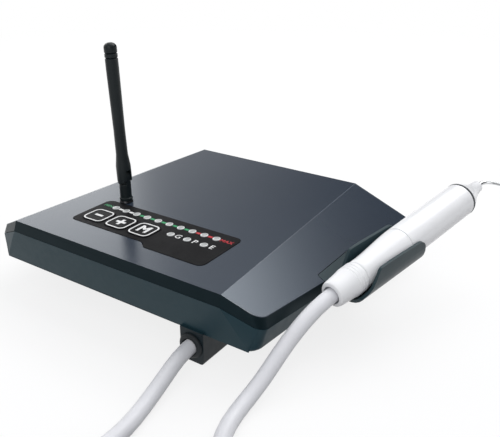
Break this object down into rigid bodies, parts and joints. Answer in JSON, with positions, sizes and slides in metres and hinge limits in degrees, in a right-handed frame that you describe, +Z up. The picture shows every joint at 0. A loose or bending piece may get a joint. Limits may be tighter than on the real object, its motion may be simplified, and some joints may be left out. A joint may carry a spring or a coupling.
{
  "type": "ultrasonic scaler",
  "caption": "Dental ultrasonic scaler: a wedge-shaped desk unit with a keypad, a fold-down aerial, and a handpiece on a hose resting in a side cradle.",
  "frame": {"origin": "under the middle of the box that the unit, its aerial and the handpiece fill, at the height of the feet", "axes": "+X to the user's right, +Y to the back, +Z up"},
  "size_m": [0.2596, 0.338, 0.1357],
  "materials": {
    "slate": "gloss",
    "teal": "satin",
    "black": "satin",
    "label": "gloss",
    "lens": "gloss",
    "rubber": "matte",
    "white": "gloss",
    "hose": "satin",
    "steel": "polished",
    "brass": "satin",
    "board": "satin",
    "ceramic": "matte",
    "ferrite": "matte"
  },
  "bodies": {
    "unit": {"upper_shell": "slate", "lower_shell": "teal", "keypad_overlay": "label", "level_light_guide": "lens", "mode_light_guide": "lens", "control_board": "board", "drive_board": "board", "heat_sink": "steel", "output_transformer": "ferrite", "receiver_board": "board", "solenoid_valve": "brass", "valve_coil": "ferrite", "feed_tube": "hose", "hose_tube": "hose", "water_inlet": "brass", "regulator_valve": "brass", "power_socket": "black", "socket_pin": "steel", "switch_frame": "black", "aerial_jack": "brass", "aerial_nut": "steel", "hose_gland": "rubber", "hose_unit_run": "hose", "hose_hand_run": "hose", "hose_coil": "hose", "handpiece_cradle": "teal", "tail_nut": "white", "foot_left_front": "rubber", "case_screw_left_front": "steel", "foot_left_back": "rubber", "case_screw_left_back": "steel", "foot_right_front": "rubber", "case_screw_right_front": "steel", "foot_right_back": "rubber", "case_screw_right_back": "steel"},
    "handpiece": {"grip_sleeve": "white", "barrel": "white", "seal_ring": "rubber", "nose_cone": "white", "scaler_tip": "steel", "horn": "steel", "piezo_stack": "ceramic", "back_mass": "steel"},
    "aerial_base": {"aerial_knuckle": "black", "aerial_pin": "steel"},
    "aerial": {"aerial_whip": "black"},
    "minus_key": {"key_minus": "label"},
    "plus_key": {"key_plus": "label"},
    "mode_key": {"key_mode": "label"},
    "rocker": {"power_rocker": "black"},
    "knob": {"water_knob": "black"}
  },
  "joints": [
    {"name": "key_minus_press", "type": "slide", "parent": "unit", "child": "minus_key", "axis": [0, 0, -1], "range_m": [0, 0.0005], "stiffness_N_per_m": 2000, "springref_m": -0.0003},
    {"name": "key_plus_press", "type": "slide", "parent": "unit", "child": "plus_key", "axis": [0, 0, -1], "range_m": [0, 0.0005], "stiffness_N_per_m": 2000, "springref_m": -0.0003},
    {"name": "key_mode_press", "type": "slide", "parent": "unit", "child": "mode_key", "axis": [0, 0, -1], "range_m": [0, 0.0005], "stiffness_N_per_m": 2000, "springref_m": -0.0003},
    {"name": "aerial_turn", "type": "hinge", "parent": "unit", "child": "aerial_base", "pos_m": [-0.06291, -0.03116, 0.05], "axis": [0, 0, 1], "range_deg": [-180, 180]},
    {"name": "aerial_tilt", "type": "hinge", "parent": "aerial_base", "child": "aerial", "pos_m": [-0.06291, -0.03116, 0.0602], "axis": [0, -1, 0], "range_deg": [-2, 88]},
    {"name": "handpiece_pull", "type": "slide", "parent": "unit", "child": "handpiece", "axis": [0.2219, 0.9613, 0.1633], "range_m": [0, 0.06]},
    {"name": "water_knob_turn", "type": "hinge", "parent": "unit", "child": "knob", "pos_m": [-0.06791, 0.07124, 0.028], "axis": [0, 1, 0], "range_deg": [0, 270]},
    {"name": "power_rocker_tilt", "type": "hinge", "parent": "unit", "child": "rocker", "pos_m": [0.01809, 0.06874, 0.028], "axis": [0, 0, 1], "range_deg": [0, 15]}
  ]
}
